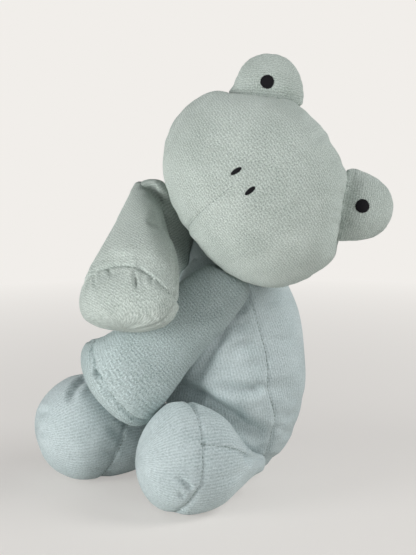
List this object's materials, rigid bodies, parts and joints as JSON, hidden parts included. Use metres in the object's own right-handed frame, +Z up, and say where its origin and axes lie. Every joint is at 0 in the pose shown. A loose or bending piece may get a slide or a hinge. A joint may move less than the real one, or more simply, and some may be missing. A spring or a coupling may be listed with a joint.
{
  "type": "plush frog",
  "caption": "Seated stuffed velour frog with a large lolling head, round eye lobes, soft bent arms and bulbous feet; a soft toy to hug and pose.",
  "frame": {"origin": "middle of the flat patch under the body on which the frog sits, at the floor", "axes": "+Z up; the body faces -Y; +X is to the frog's own left, over which its head lolls"},
  "size_m": [0.1735, 0.1591, 0.2613],
  "materials": {
    "sage_velour": "short-pile velour",
    "pale_velour": "short-pile velour",
    "shaded_velour": "short-pile velour",
    "filling": "loose polyester fibre",
    "beans": "woven pouch of plastic beans",
    "thread": "satin-stitch embroidery thread"
  },
  "bodies": {
    "torso": {"body_front_panel": "pale_velour", "body_back_panel": "pale_velour", "body_filling": "filling", "seat_bean_pouch": "beans"},
    "neck": {"neck_gather": "shaded_velour"},
    "head": {"face_panel": "sage_velour", "head_back_panel": "sage_velour", "head_filling": "filling", "right_nostril": "thread", "right_eye_cover": "sage_velour", "right_eye_filling": "filling", "right_pupil": "thread", "left_nostril": "thread", "left_eye_cover": "sage_velour", "left_eye_filling": "filling", "left_pupil": "thread"},
    "right_arm": {"right_upper_sleeve": "sage_velour", "right_upper_filling": "filling"},
    "right_forearm": {"right_forearm_sleeve": "sage_velour", "right_hand_cap": "sage_velour", "right_forearm_filling": "filling"},
    "left_arm": {"left_arm_sleeve": "shaded_velour", "left_hand_cap": "shaded_velour", "left_arm_filling": "filling"},
    "right_leg": {"right_leg_sleeve": "pale_velour", "right_foot_cap": "pale_velour", "right_leg_filling": "filling"},
    "left_leg": {"left_leg_sleeve": "pale_velour", "left_foot_cap": "pale_velour", "left_leg_filling": "filling"}
  },
  "joints": [
    {"name": "neck_turn", "type": "hinge", "parent": "torso", "child": "neck", "pos_m": [0.004, -0.015, 0.1635], "axis": [0, 0, 1], "range_deg": [0, 15]},
    {"name": "neck_nod", "type": "hinge", "parent": "neck", "child": "head", "pos_m": [0.004, -0.015, 0.1635], "axis": [-0.4828, -0.3744, 0.7916], "range_deg": [0, 20]},
    {"name": "left_shoulder", "type": "hinge", "parent": "torso", "child": "left_arm", "pos_m": [0.02981, -0.02209, 0.13417], "axis": [-0.84, 0.5359, -0.0845], "range_deg": [0, 8]},
    {"name": "right_shoulder", "type": "hinge", "parent": "torso", "child": "right_arm", "pos_m": [-0.02468, -0.02209, 0.13417], "axis": [-0.6291, -0.3487, -0.6947], "range_deg": [0, 40]},
    {"name": "right_elbow", "type": "hinge", "parent": "right_arm", "child": "right_forearm", "pos_m": [-0.01656, -0.05465, 0.18209], "axis": [-0.8198, -0.5286, -0.2202], "range_deg": [0, 60]},
    {"name": "left_hip", "type": "hinge", "parent": "torso", "child": "left_leg", "pos_m": [0.02873, -0.00654, 0.01977], "axis": [0, 0, 1], "range_deg": [0, 35]},
    {"name": "right_hip", "type": "hinge", "parent": "torso", "child": "right_leg", "pos_m": [-0.02505, -0.01531, 0.01977], "axis": [0, 0, -1], "range_deg": [0, 35]}
  ]
}
